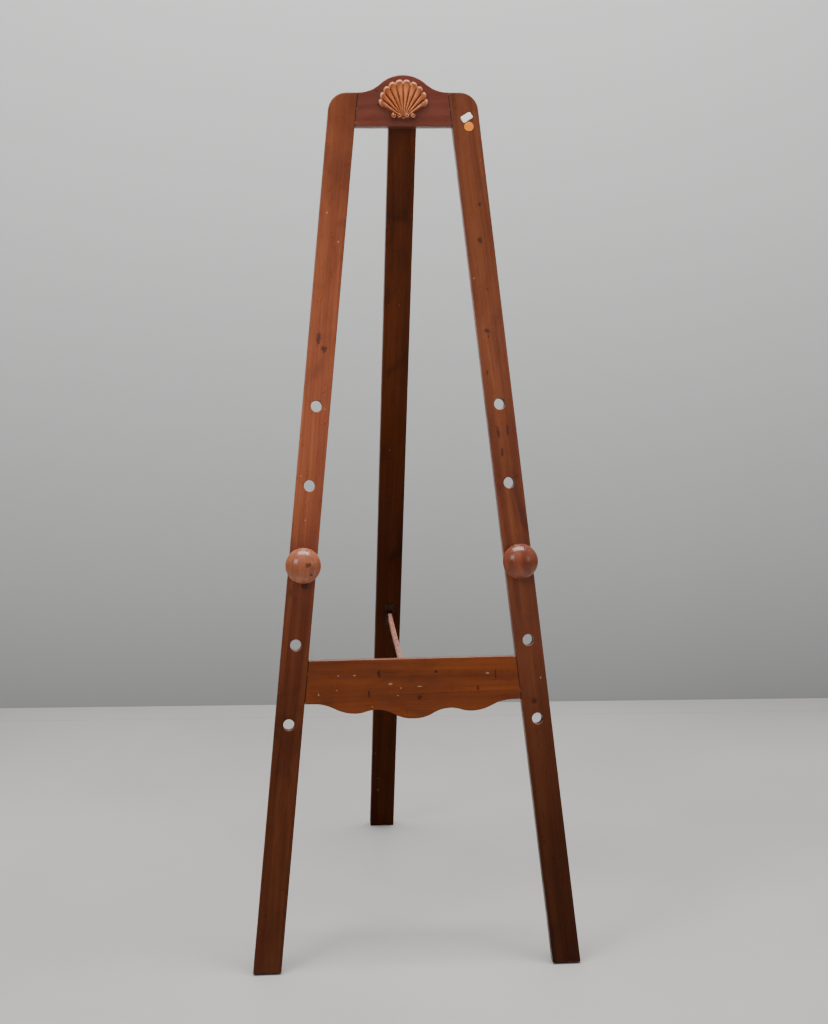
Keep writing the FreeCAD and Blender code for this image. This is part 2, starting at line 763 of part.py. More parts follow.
def stay_bar():
    """A thin bar, round at its pivot, with a notch under its free end that drops over the hook."""
    body = doc.addObject("PartDesign::Body", "stay_bar_body")
    sketch = new_sketch(body, "stay_bar_outline", "YZ_Plane")
    reach = "%.6f" % STAY_REACH
    half = "stay_height / 2"
    room = "(hook_rod / 2 + notch_clearance)"
    front_wall = "-%s - %s" % (reach, room)
    roof_end = "-%s + %s" % (reach, room)
    ramp_end = "%s + notch_depth / tan(notch_slope * 1deg)" % roof_end
    roof = "-%s + notch_depth" % half
    nose = "%s - stay_nose" % front_wall
    outline(sketch, [
        ("0", half), (nose, half), (nose, "-%s + nose_ease" % half),
        (nose + " + nose_ease", "-" + half),
        (front_wall, "-" + half), (front_wall, roof), (roof_end, roof), (ramp_end, "-" + half),
        ("0", "-" + half, half, 1), (half, "0", half, 1),
    ])
    pad = body.newObject("PartDesign::Pad", "stay_bar_pad")
    pad.Profile = sketch
    bind(pad, Length="stay_width")
    pad.Midplane = True
    doc.recompute()
    bore = cylinder("stay_bore", "stay_pin / 2 + pin_clearance", "4 * stay_width",
                    about(0, 0, 1, -STAY_SKEW) * toward((1, 0, 0), (-2 * size("stay_width"), 0, 0)))
    keep(cut("stay_bar", body, [bore]), "stay_bar", STAY)


def rail_hook():
    """An L hook screwed into the back of the cross rail, its prong turned to the left."""
    inside = RAIL_BACK - size("hook_embed")
    shank = cylinder("hook_shank", "hook_rod / 2", "hook_embed + hook_reach",
                     toward((0, 1, 0), (0, inside, HOOK_UP)))
    elbow = doc.addObject("Part::Sphere", "hook_elbow")
    bind(elbow, Radius="hook_rod / 2")
    elbow.Placement.Base = FreeCAD.Vector(0, HOOK_BACK, HOOK_UP)
    prong = cylinder("hook_prong", "hook_rod / 2", "hook_side + hook_tail",
                     toward((-1, 0, 0), (0, HOOK_BACK, HOOK_UP)))
    collar = cylinder("hook_collar", "hook_rod", "leaf_thickness",
                      toward((0, 1, 0), (0, RAIL_BACK, HOOK_UP)))
    keep(fuse("hook_solid", [shank, elbow, prong, collar]), "rail_hook", FRONT)


# Pegs


def peg(side, name):
    """A mushroom knob and the dowel glued in it, drawn pointing up Z from the leg's face."""
    body = doc.addObject("PartDesign::Body", name + "_knob_body")
    sketch = new_sketch(body, name + "_profile")
    socket = "(hole_diameter / 2 - peg_clearance)"
    rim = "knob_diameter / 2"
    foot = "knob_foot / 2"
    neck = "knob_neck / 2"
    crown = "((%s)^2 + (knob_length - knob_rim)^2) / (2 * (knob_length - knob_rim))" % rim
    under_rim = rim + " - knob_rim_round"
    outline(sketch, [
        (socket, "0"), (foot, "0"), (foot, "knob_foot_height"),
        (neck, "knob_neck_at", "knob_flare", -1),
        (under_rim, "knob_rim - knob_rim_round", "knob_rim_round", 1),
        (rim, "knob_rim", crown, 1),
        ("0", "knob_length"), ("0", "peg_socket"), (socket, "peg_socket"),
    ])
    turned = body.newObject("PartDesign::Revolution", name + "_turned")
    turned.Profile = sketch
    turned.ReferenceAxis = (sketch, ["V_Axis"])
    turned.Angle = 360
    doc.recompute()
    up_leg = size("hole_low + hole_pitch * (peg_hole - 1)")
    spot = (side * (size("foot_spread") - up_leg * math.sin(SPLAY)), 0, up_leg * math.cos(SPLAY))
    outward = FRONT * about(1, 0, 0, 90, spot)
    keep(body, name + "_knob", outward)
    tail = size("leg_thickness + peg_tail")
    dowel = cylinder(name + "_dowel_rod", socket, "leg_thickness + peg_tail + peg_socket",
                     toward((0, 0, 1), (0, 0, -tail)))
    keep(dowel, name + "_dowel", outward * dowel.Placement)


front_leg(-1, "left_front_leg")
front_leg(1, "right_front_leg")
top_rail()
cross_rail()
dowels("top_rail")
dowels("cross_rail")
shell_ornament()
hinge()
rear_leg()
stay_bracket()
stay_bar()
rail_hook()
peg(-1, "left_peg")
peg(1, "right_peg")

doc.recompute()

for thing in doc.Objects:
    if "Invalid" in thing.State or "Error" in thing.State:
        raise RuntimeError("%s failed: %s" % (thing.Name, thing.State))

os.makedirs("parts", exist_ok=True)
for part in parts_out:
    if part.Shape.isNull() or not part.Shape.isValid() or not part.Shape.Solids:
        raise RuntimeError("%s has no sound shape" % part.Label)
    part.Shape.exportStep("parts/%s.step" % part.Label)
    box = part.Shape.BoundBox
    print("%-22s %d solid(s) %9.0f mm3  x %.1f %.1f  y %.1f %.1f  z %.1f %.1f" % (
        part.Label, len(part.Shape.Solids), part.Shape.Volume,
        box.XMin, box.XMax, box.YMin, box.YMax, box.ZMin, box.ZMax))
print("stay rises %.3f deg, skew %.3f deg, reach %.2f" % (STAY_RISE, STAY_SKEW, STAY_REACH))
print("rear leg tilt %.3f deg, length %.2f" % (REAR_TILT, -REAR_FOOT))
print("hinge pin", hung(0, 0, 0) + CENTRE)
print("stay pivot", STAY_PIVOT + CENTRE)
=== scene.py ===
"""Display easel in varnished wood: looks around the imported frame. Metres, in the row frame."""
import math

import bmesh
import bpy
from mathutils import Matrix, Vector


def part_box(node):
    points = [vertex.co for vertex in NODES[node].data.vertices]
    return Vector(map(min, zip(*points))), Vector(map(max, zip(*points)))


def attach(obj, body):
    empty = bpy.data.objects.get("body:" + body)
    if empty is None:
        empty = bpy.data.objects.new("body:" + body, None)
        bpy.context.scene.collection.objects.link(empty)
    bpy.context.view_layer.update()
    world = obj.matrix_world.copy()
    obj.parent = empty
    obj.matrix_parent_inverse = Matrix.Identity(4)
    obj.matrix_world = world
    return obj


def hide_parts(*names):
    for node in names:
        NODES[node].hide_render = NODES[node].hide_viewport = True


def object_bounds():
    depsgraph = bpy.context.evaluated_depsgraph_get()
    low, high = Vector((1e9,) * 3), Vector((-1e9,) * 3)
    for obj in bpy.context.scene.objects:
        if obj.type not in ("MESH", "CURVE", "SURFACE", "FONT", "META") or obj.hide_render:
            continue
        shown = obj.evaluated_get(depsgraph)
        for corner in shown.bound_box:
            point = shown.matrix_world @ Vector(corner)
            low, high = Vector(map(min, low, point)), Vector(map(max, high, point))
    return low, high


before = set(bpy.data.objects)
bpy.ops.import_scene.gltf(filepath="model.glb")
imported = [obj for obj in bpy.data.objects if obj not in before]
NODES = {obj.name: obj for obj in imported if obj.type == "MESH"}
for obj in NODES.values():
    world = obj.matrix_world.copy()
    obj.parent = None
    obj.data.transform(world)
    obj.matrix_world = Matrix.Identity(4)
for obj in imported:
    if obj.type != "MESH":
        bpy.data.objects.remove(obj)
cad_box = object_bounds()
LOW, HIGH = cad_box


# Camera, stage and light

CAMERA_SIDE = -0.3136
CAMERA_BACK = 3.1881
CAMERA_HEIGHT = 1.3348
CAMERA_YAW = 5.51
CAMERA_PITCH = 10.32
CAMERA_ROLL = 0.03
CAMERA_LENS = 73.83
WALL_BEHIND = 0.865
WALL_TURN = math.radians(3.0)
AIR_LOW = 0.30
AIR_HIGH = 0.85


def camera():
    data = bpy.data.cameras.new("camera")
    data.lens = CAMERA_LENS
    data.sensor_width = 36.0
    data.clip_end = 50.0
    thing = bpy.data.objects.new("camera", data)
    thing.location = (CAMERA_SIDE, LOW.y - CAMERA_BACK, CAMERA_HEIGHT)
    thing.rotation_euler = (
        math.radians(90 - CAMERA_PITCH), math.radians(CAMERA_ROLL), math.radians(-CAMERA_YAW)
    )
    bpy.context.collection.objects.link(thing)
    bpy.context.scene.camera = thing


def area_light(name, place, aim, width, height, power, tint):
    data = bpy.data.lights.new(name, "AREA")
    data.shape = "RECTANGLE"
    data.size = width
    data.size_y = height
    data.energy = power
    data.color = tint
    thing = bpy.data.objects.new(name, data)
    thing.location = place
    thing.rotation_mode = "QUATERNION"
    thing.rotation_quaternion = (Vector(aim) - Vector(place)).to_track_quat("-Z", "Y")
    bpy.context.collection.objects.link(thing)
    return thing


def lights():
    middle = (0, 0, 0.8)
    area_light("ceiling", (0.05, -0.35, 3.1), aim=(0.05, -0.2, 0), width=2.2, height=0.9,
               power=84, tint=(1.0, 0.985, 0.97))
    area_light("window", (-2.6, -2.6, 2.7), aim=middle, width=1.2, height=1.5,
               power=40, tint=(0.97, 0.985, 1.0))
    area_light("fill", (2.9, -2.4, 1.9), aim=middle, width=1.0, height=1.4,
               power=9, tint=(1.0, 0.97, 0.94))
    studio_air()


def studio_air():
    """Even light from all round, weaker near the floor."""
    world = bpy.data.worlds.new("studio")
    world.use_nodes = True
    tree = world.node_tree
    sky = tree.nodes["Background"]
    coordinates = tree.nodes.new("ShaderNodeTexCoord")
    parts = tree.nodes.new("ShaderNodeSeparateXYZ")
    level = tree.nodes.new("ShaderNodeMapRange")
    for name, value in (("From Min", 0.02), ("From Max", 0.75), ("To Min", AIR_LOW),
                        ("To Max", AIR_HIGH)):
        level.inputs[name].default_value = value
    tree.links.new(coordinates.outputs["Generated"], parts.inputs[0])
    tree.links.new(parts.outputs["Z"], level.inputs["Value"])
    tree.links.new(level.outputs[0], sky.inputs["Strength"])
    sky.inputs["Color"].default_value = (0.93, 0.94, 0.95, 1)
    bpy.context.scene.world = world


# Node building


class Shade:
    """A material under construction: each method adds a node and returns its output socket."""

    def __init__(self, name):
        self.material = bpy.data.materials.new(name)
        self.material.use_nodes = True
        self.tree = self.material.node_tree
        self.tree.nodes.clear()

    def add(self, kind, **settings):
        node = self.tree.nodes.new(kind)
        for key, value in settings.items():
            setattr(node, key, value)
        return node

    def put(self, socket, value):
        """Link a socket, or set its value where value is a number or a tuple."""
        if isinstance(value, bpy.types.NodeSocket):
            self.tree.links.new(value, socket)
            return
        if socket.type == "RGBA" and len(value) == 3:
            value = (*value, 1.0)
        socket.default_value = value

    def math(self, operation, first, second=0.0, third=0.0, clamp=False):
        node = self.add("ShaderNodeMath", operation=operation, use_clamp=clamp)
        for socket, value in zip(node.inputs, (first, second, third)):
            self.put(socket, value)
        return node.outputs[0]

    def vector(self, operation, first, second):
        node = self.add("ShaderNodeVectorMath", operation=operation)
        self.put(node.inputs[0], first)
        self.put(node.inputs[1], second)
        return node.outputs["Value" if operation in ("DOT_PRODUCT", "LENGTH", "DISTANCE") else 0]

    def join(self, x, y, z):
        node = self.add("ShaderNodeCombineXYZ")
        for socket, value in zip(node.inputs, (x, y, z)):
            self.put(socket, value)
        return node.outputs[0]

    def split(self, vector):
        node = self.add("ShaderNodeSeparateXYZ")
        self.put(node.inputs[0], vector)
        return node.outputs

    def place(self):
        return self.add("ShaderNodeTexCoord").outputs["Object"]

    def noise(self, vector, scale=1.0, detail=3.0, rough=0.5, warp=0.0):
        node = self.add("ShaderNodeTexNoise")
        self.put(node.inputs["Vector"], vector)
        self.put(node.inputs["Scale"], scale)
        self.put(node.inputs["Detail"], detail)
        self.put(node.inputs["Roughness"], rough)
        self.put(node.inputs["Distortion"], warp)
        return node.outputs[0]

    def spread(self, value, low, high, out_low=0.0, out_high=1.0, smooth=True):
        node = self.add("ShaderNodeMapRange")
        node.interpolation_type = "SMOOTHSTEP" if smooth else "LINEAR"
        for name, number in (("Value", value), ("From Min", low), ("From Max", high),
                             ("To Min", out_low), ("To Max", out_high)):
            self.put(node.inputs[name], number)
        return node.outputs[0]

    def ramp(self, value, stops):
        node = self.add("ShaderNodeValToRGB")
        elements = node.color_ramp.elements
        for element, (position, colour) in ((elements[0], stops[0]), (elements[1], stops[-1])):
            element.position = position
            element.color = (*colour, 1.0)
        for position, colour in stops[1:-1]:
            elements.new(position).color = (*colour, 1.0)
        self.put(node.inputs[0], value)
        return node.outputs[0]

    def mix(self, factor, first, second, blend="MIX"):
        node = self.add("ShaderNodeMix", data_type="RGBA", blend_type=blend)
        for socket, value in zip((node.inputs[0], node.inputs[6], node.inputs[7]),
                                 (factor, first, second)):
            self.put(socket, value)
        return node.outputs[2]

    def bump(self, height, strength, distance, normal=None):
        node = self.add("ShaderNodeBump")
        self.put(node.inputs["Height"], height)
        self.put(node.inputs["Strength"], strength)
        self.put(node.inputs["Distance"], distance)
        if normal is not None:
            self.put(node.inputs["Normal"], normal)
        return node.outputs[0]

    def finish(self, **inputs):
        shader = self.add("ShaderNodeBsdfPrincipled")
        for name, value in inputs.items():
            self.put(shader.inputs[name.replace("_", " ")], value)
        output = self.add("ShaderNodeOutputMaterial")
        self.tree.links.new(shader.outputs[0], output.inputs["Surface"])
        return self.material


def srgb(red, green, blue):
    """A colour given as 0 to 255 values on screen, in linear light."""
    parts = [value / 255 for value in (red, green, blue)]
    return tuple(p / 12.92 if p <= 0.04045 else ((p + 0.055) / 1.055) ** 2.4 for p in parts)


def board_axes(node):
    """Along the grain, across the face and through the board, and its centre.

    The grain follows the board's longest true edge; the face is its largest flat side, added
    up over the pieces it is meshed in.
    """
    builder = bmesh.new()
    builder.from_mesh(NODES[node].data)
    areas = {}
    for face in builder.faces:
        facing = tuple(round(abs(c), 2) for c in face.normal)
        areas[facing] = areas.get(facing, 0) + face.calc_area()
    edges = [e for e in builder.edges if len(e.link_faces) != 2 or e.calc_face_angle() > 0.05]
    longest = max(edges, key=lambda e: e.calc_length())
    along = (longest.verts[1].co - longest.verts[0].co).normalized()
    along *= math.copysign(1, along.z if abs(along.z) > abs(along.x) else along.x)
    widest = max(areas, key=areas.get)
    through = next(f.normal.copy() for f in builder.faces
                   if tuple(round(abs(c), 2) for c in f.normal) == widest)
    through *= math.copysign(1, through.y)
    builder.free()
    through = (through - along * through.dot(along)).normalized()
    low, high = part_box(node)
    return along, along.cross(through), through, (Vector(low) + Vector(high)) / 2


def board_place(shade, axes):
    """Coordinates in the board: across, through and along, from its centre."""
    along, across, through, centre = axes
    offset = shade.vector("SUBTRACT", shade.place(), tuple(centre))
    return shade.join(
        shade.vector("DOT_PRODUCT", offset, tuple(across)),
        shade.vector("DOT_PRODUCT", offset, tuple(through)),
        shade.vector("DOT_PRODUCT", offset, tuple(along)),
    )


# Each layer of a board: how fine it is across and along the grain, then detail, roughness, warp
LAYERS = {
    "wander": (7.0, 1.1, 2.0, 0.5, 0.0),
    "bands": (85.0, 1.3, 3.0, 0.55, 0.0),
    "lines": (330.0, 3.2, 4.0, 0.6, 0.0),
    "fibres": (1100.0, 16.0, 3.0, 0.6, 0.0),
    "pores": (1900.0, 60.0, 2.0, 0.5, 0.0),
    "clouds": (19.0, 6.5, 4.0, 0.55, 0.7),
    "smoke": (22.0, 10.0, 4.0, 0.55, 0.6),
    "warmth": (8.0, 3.0, 3.0, 0.5, 0.0),
    "rub": (110.0, 28.0, 4.0, 0.65, 0.0),
    "filler": (150.0, 150.0, 2.0, 0.5, 0.0),
    "chips": (260.0, 150.0, 2.0, 0.4, 0.0),
    "rare": (16.0, 9.0, 1.0, 0.5, 0.0),
    "dents": (120.0, 75.0, 1.5, 0.5, 0.0),
    "tears": (330.0, 240.0, 3.0, 0.6, 0.0),
    "scuffs": (70.0, 36.0, 6.0, 0.7, 0.0),
}
BAND_DRIFT = 5.0
LINE_DRIFT = 16.0
BARE_WOOD = srgb(214, 176, 140)
PAINTED_EDGE_HIGHLIGHT = srgb(206, 150, 134)
PAINTED_TIP_HIGHLIGHT = srgb(232, 170, 132)
EDGE_ROUND = 0.0022
HOLLOW_SHADE_REACH = 0.0035
BORE_REACH = (0.015, 0.013)
GLUE_LINE = (0.0013, 0.0006)
SCRATCH_SLANT = 0.42


class Wood(Shade):
    """A board's material: its coordinates, its tones and the layers drawn out along its grain."""

    def __init__(self, name, axes, tones, seed):
        super().__init__(name)
        self.face = tuple(axes[2])
        self.dark, self.ground, self.glow = tones
        self.deep = tuple(c * 0.3 for c in self.dark)
        self.pale = self.mix(0.45, self.glow, BARE_WOOD)
        board = board_place(self, axes)
        self.shifted = self.vector("ADD", board, (seed * 0.37, seed * 0.11, seed * 0.73))
        self.across, self.through, self.along = self.split(board)
        self.fibres = self.layer("fibres")
        self.pores = self.spread(self.layer("pores"), 0.6, 0.72)
        self.clouds = self.layer("clouds")
        self.rub = self.layer("rub")
        rounded = self.add("ShaderNodeBevel", samples=6)
        rounded.inputs["Radius"].default_value = EDGE_ROUND
        self.rounded = rounded.outputs[0]
        self.flat = self.add("ShaderNodeNewGeometry").outputs["Normal"]
        self.edge = self.math("SUBTRACT", 1.0, self.vector("DOT_PRODUCT", self.rounded, self.flat))

    def layer(self, name, drift=None):
        fine, lengthwise, detail, rough, warp = LAYERS[name]
        place = self.vector("MULTIPLY", self.shifted, (fine, fine, lengthwise))
        if drift is not None:
            place = self.vector("ADD", place, self.join(drift, 0.0, 0.0))
        return self.noise(place, 1.0, detail, rough, warp)

    def over(self, mask, share, colour, paint):
        """Paint laid over a colour where the mask is, at a share of its strength."""
        return self.mix(self.math("MULTIPLY", mask, share), colour, paint)


def stain(wood, figure, dirt):
    """Grain bands that wander, fine fibres, open pores, cloudy stain and handling smoke."""
    wander = wood.layer("wander")
    bands = wood.layer("bands", wood.math("MULTIPLY", wander, BAND_DRIFT))
    lines = wood.layer("lines", wood.math("MULTIPLY", wander, LINE_DRIFT))
    smoke = wood.spread(wood.layer("smoke"), 0.56, 0.78)
    colour = wood.mix(wood.spread(bands, 0.3, 0.7), wood.ground, wood.glow)
    colour = wood.over(wood.spread(wood.clouds, 0.4, 0.75), 0.7, colour,
                       wood.mix(0.45, wood.ground, wood.dark))
    colour = wood.over(wood.spread(wood.layer("warmth"), 0.45, 0.75), 0.35, colour, wood.glow)
    colour = wood.over(wood.spread(lines, 0.46, 0.72), figure * 1.3, colour, wood.dark)
    colour = wood.over(wood.spread(wood.fibres, 0.45, 0.75), figure * 0.7, colour, wood.dark)
    colour = wood.over(wood.pores, 0.4, colour, wood.deep)
    return wood.over(smoke, dirt, colour, wood.deep)


def paint_shade_along(wood, painted_shading):
    """Painted light and shade along the board, for its colour and the varnish's shine."""
    low, high = painted_shading[0][0], painted_shading[-1][0]
    stops = [((at - low) / (high - low), (level,) * 3) for at, level in painted_shading]
    ragged = wood.math("SUBTRACT", wood.clouds, 0.5)
    wavy = wood.math("MULTIPLY_ADD", ragged, 0.16, wood.along)
    return wood.ramp(wood.spread(wavy, low, high, smooth=False), stops)


def paint_hollow_shade(wood, colour, share):
    # painted shade: hollows darkened where ambient occlusion finds them
    occlusion = wood.add("ShaderNodeAmbientOcclusion", samples=8)
    occlusion.inputs["Distance"].default_value = HOLLOW_SHADE_REACH
    return wood.mix(wood.spread(occlusion.outputs["AO"], 0.85, 0.35, 0.0, share), colour, wood.deep)


def wear_edges_and_paint_highlight(wood, colour, worn, rub_level):
    """Arrises are rubbed down to paler wood, and those that face up get a painted highlight."""
    colour = wood.over(worn, rub_level, colour, wood.pale)
    # painted highlight: pale colour on the arrises that face up
    lift = wood.spread(wood.split(wood.rounded)[2], 0.25, 0.65)
    painted_highlight = wood.math("MULTIPLY", wood.math("MULTIPLY", wood.spread(wood.edge, 0.01, 0.1), lift),
                    wood.spread(wood.rub, 0.3, 0.5, 0.45, 0.95))
    return wood.mix(painted_highlight, colour, PAINTED_EDGE_HIGHLIGHT)


def paint_tip_highlight(wood, colour, rim):
    """A painted highlight on the carving's outer tips, in patches."""
    outward = wood.add("ShaderNodeAttribute", attribute_name=rim).outputs["Fac"]
    tip_highlight = wood.math("MULTIPLY", wood.spread(outward, 0.90, 0.97),
                       wood.spread(wood.rub, 0.3, 0.6, 0.3, 0.7))
    return wood.mix(tip_highlight, colour, PAINTED_TIP_HIGHLIGHT)


def glue_line(wood, colour, toward, distance):
    """A dark line where the board meets another, with a crumb of pale filler here and there."""
    depth = wood.math("SUBTRACT", wood.vector("DOT_PRODUCT", wood.place(), toward), distance)
    ragged = wood.math("SUBTRACT", wood.rub, 0.5)
    line = wood.spread(wood.math("MULTIPLY_ADD", ragged, 0.0012, depth), *GLUE_LINE)
    filler = wood.spread(wood.layer("filler"), 0.6, 0.66)
    return wood.over(line, 0.85, colour, wood.mix(filler, wood.deep, wood.pale))


def scratches(wood):
    """Fine slanted scratches in a few places."""
    slant = wood.math("ADD", wood.across, wood.math("MULTIPLY", wood.along, SCRATCH_SLANT))
    slanted = wood.vector("MULTIPLY", wood.join(slant, wood.through, wood.along),
                          (900.0, 900.0, 14.0))
    rare = wood.spread(wood.layer("rare"), 0.56, 0.7)
    return wood.math("MULTIPLY", wood.spread(wood.noise(slanted, detail=1.0), 0.74, 0.8), rare)


def chips_and_dents(wood, marks):
    """Small pale chips and dark dents: scattered ones, and those listed in marks."""
    chip = wood.spread(wood.layer("chips"), 0.77, 0.81)
    dent = wood.spread(wood.layer("dents"), 0.755, 0.8)
    tear = wood.math("SUBTRACT", wood.layer("tears"), 0.5)
    for at_across, at_along, wide, long, kind in marks:
        side = wood.math("DIVIDE", wood.math("SUBTRACT", wood.across, at_across), wide)
        down = wood.math("DIVIDE", wood.math("SUBTRACT", wood.along, at_along), long)
        gap = wood.vector("LENGTH", wood.join(side, down, 0.0), (0, 0, 0))
        spot = wood.spread(wood.math("MULTIPLY_ADD", tear, 2.4, gap), 1.1, 0.6)
        if kind == "chip":
            chip = wood.math("MAXIMUM", chip, spot)
        else:
            dent = wood.math("MAXIMUM", dent, wood.math("MULTIPLY", spot, 0.85))
    return chip, dent


def bore_shade_mask(wood):
    """Where the raw walls of the holes along the middle of the board get painted shade and a duller
    shine.
    """
    turned = wood.math("ABSOLUTE", wood.vector("DOT_PRODUCT", wood.flat, wood.face))
    return wood.math("MULTIPLY", wood.spread(turned, 0.7, 0.5),
                     wood.spread(wood.math("ABSOLUTE", wood.across), *BORE_REACH))


def relief(wood, chip, dent):
    """The bump of fibres, pores, dents, chips and uneven varnish."""
    height = wood.math("MULTIPLY", wood.fibres, 0.4)
    for layer, depth in ((wood.pores, 0.8), (dent, 2.6), (chip, 2.0)):
        height = wood.math("SUBTRACT", height, wood.math("MULTIPLY", layer, depth))
    height = wood.math("ADD", height, wood.math("MULTIPLY", wood.clouds, 1.6))
    return wood.bump(height, 0.5, 0.0002, wood.rounded)


def varnished_wood(name, axes, tones, seed, gloss=0.3, shine=0.3, figure=0.3, dirt=0.5,
                   rub_level=0.4, painted_shading=(), marks=(), joints=(), hollow_shade=0.0, rim="",
                   bored=False):
    """Stained, varnished hardwood that has been handled for years.

    tones are the dark line, the ground and the warm glow. painted_shading lists (place along the
    board, level): painted light and shade that scales the colour and the shine. marks lists
    (across, along, half width, half length, kind), in metres. joints lists the (normal, distance)
    of planes where the board meets another. hollow_shade paints shade into hollows, rim names a
    point value where a highlight is painted on the carving's tips, and bored is for a board with
    holes along its middle, whose raw walls are duller and get painted shade.
    """
    wood = Wood(name, axes, tones, seed)
    colour = stain(wood, figure, dirt)
    if painted_shading:
        # painted shade: colour and shine darkened along the board, mostly toward the feet
        level = paint_shade_along(wood, painted_shading)
        colour = wood.mix(1.0, colour, level, "MULTIPLY")
        shine = wood.math("MULTIPLY", level, shine)
    if hollow_shade:
        colour = paint_hollow_shade(wood, colour, hollow_shade)
    worn = wood.math("MULTIPLY", wood.spread(wood.edge, 0.03, 0.2),
                     wood.spread(wood.rub, 0.44, 0.64))
    colour = wear_edges_and_paint_highlight(wood, colour, worn, rub_level)
    if rim:
        colour = paint_tip_highlight(wood, colour, rim)
    for toward, distance in joints:
        colour = glue_line(wood, colour, toward, distance)
    chip, dent = chips_and_dents(wood, marks)
    torn = wood.math("MAXIMUM", chip, wood.math("MULTIPLY", scratches(wood), 0.5))
    colour = wood.over(torn, 0.75, colour, wood.pale)
    colour = wood.over(dent, 0.8, colour, wood.deep)
    if bored:
        # painted shade on the walls of the holes, and a duller shine there
        bore_shade = bore_shade_mask(wood)
        colour = wood.over(bore_shade, 0.8, colour, wood.deep)
        dull = wood.math("SUBTRACT", 1.0, wood.math("MULTIPLY", bore_shade, 0.9))
        shine = wood.math("MULTIPLY", shine, dull)
    rough = wood.spread(wood.layer("scuffs"), 0.3, 0.72, gloss - 0.06, gloss + 0.18)
    rough = wood.math("ADD", rough, wood.math("MULTIPLY", wood.math("MAXIMUM", chip, worn), 0.25))
    return wood.finish(Base_Color=colour, Roughness=rough, Normal=relief(wood, chip, dent),
                       Coat_Weight=wood.math("MULTIPLY", shine, 0.5), Coat_Roughness=0.14,
                       Specular_IOR_Level=shine)


def metal(name, base, rust, seed, rough=0.38):
    """Old hardware: dark or brassy metal with tarnish in patches."""
    s = Shade(name)
    spot = s.vector("ADD", s.place(), (seed, seed * 0.3, seed * 0.7))
    tarnish = s.spread(s.noise(spot, 240.0, 5.0, 0.62), 0.4, 0.68)
    fine = s.noise(spot, 1600.0, 3.0, 0.5)
    colour = s.mix(tarnish, base, rust)
    level = s.spread(fine, 0.3, 0.7, rough - 0.08, rough + 0.14)
    level = s.math("ADD", level, s.math("MULTIPLY", tarnish, 0.2))
    normal = s.bump(s.math("ADD", fine, tarnish), 0.3, 0.0001)
    return s.finish(Base_Color=colour, Roughness=level, Normal=normal, Metallic=0.85)


def dress(node, material):
    mesh = NODES[node].data
    mesh.materials.clear()
    mesh.materials.append(material)


LEG_TONES = (srgb(88, 32, 14), srgb(148, 70, 36), srgb(184, 100, 56))
REAR_TONES = (srgb(50, 18, 4), srgb(100, 44, 14), srgb(122, 58, 20))
CROSS_TONES = (srgb(62, 23, 6), srgb(102, 46, 15), srgb(124, 60, 21))
TOP_TONES = (srgb(54, 19, 11), srgb(92, 40, 27), srgb(108, 52, 36))
# The stay's pale pink tones are its wood with a painted reflection of the light on its varnish
STAY_TONES_WITH_PAINTED_REFLECTION = (srgb(140, 78, 62), srgb(184, 120, 102), srgb(204, 146, 128))
LEFT_KNOB_TONES = (srgb(90, 40, 20), srgb(144, 74, 44), srgb(176, 106, 70))
# The right knob is the left knob's wood made darker: painted shade
RIGHT_KNOB_SHADED_TONES = (srgb(58, 20, 8), srgb(108, 44, 20), srgb(140, 70, 38))
SHELL_TONES = (srgb(78, 30, 8), srgb(152, 72, 28), srgb(188, 104, 54))
DOWEL_TONES = (srgb(110, 70, 34), srgb(170, 122, 74), srgb(198, 152, 100))

# Painted light and shade along the legs, darker toward the feet: (place from the middle, level), from
# foot to head
LEFT_PAINTED_SHADE = ((-0.71, 0.18), (-0.3, 0.26), (-0.12, 0.42), (0.04, 0.8), (0.2, 0.88), (0.45, 0.66),
             (0.71, 0.40))
RIGHT_PAINTED_SHADE = ((-0.71, 0.10), (-0.5, 0.15), (-0.3, 0.27), (-0.1, 0.46), (0.1, 0.42), (0.3, 0.52),
              (0.48, 0.38), (0.71, 0.38))
REAR_PAINTED_SHADE = ((-0.71, 0.28), (-0.1, 0.33), (0.1, 0.5), (0.4, 0.85), (0.71, 0.9))

# Dents and chips: (across, along, half width, half length, kind), in metres from the middle
LEFT_MARKS = (
    (0.006, 0.312, 0.004, 0.012, "dent"), (-0.004, 0.296, 0.005, 0.006, "dent"),
    (-0.006, -0.085, 0.006, 0.007, "dent"), (0.010, 0.515, 0.0012, 0.002, "chip"),
    (-0.012, 0.47, 0.001, 0.0016, "chip"), (0.016, 0.09, 0.0014, 0.001, "chip"),
    (0.002, 0.02, 0.001, 0.0012, "chip"), (-0.014, 0.2, 0.0012, 0.0018, "chip"),
)
RIGHT_MARKS = (
    (0.0, 0.469, 0.004, 0.006, "dent"), (0.0065, 0.323, 0.004, 0.005, "dent"),
    (0.008, 0.157, 0.003, 0.010, "dent"), (-0.0073, 0.160, 0.0025, 0.010, "dent"),
    (0.005, 0.125, 0.003, 0.008, "dent"), (0.014, 0.255, 0.0014, 0.006, "dent"),
    (0.002, -0.281, 0.0065, 0.005, "dent"), (0.017, 0.41, 0.001, 0.0015, "chip"),
    (-0.013, -0.245, 0.001, 0.0015, "chip"),
)
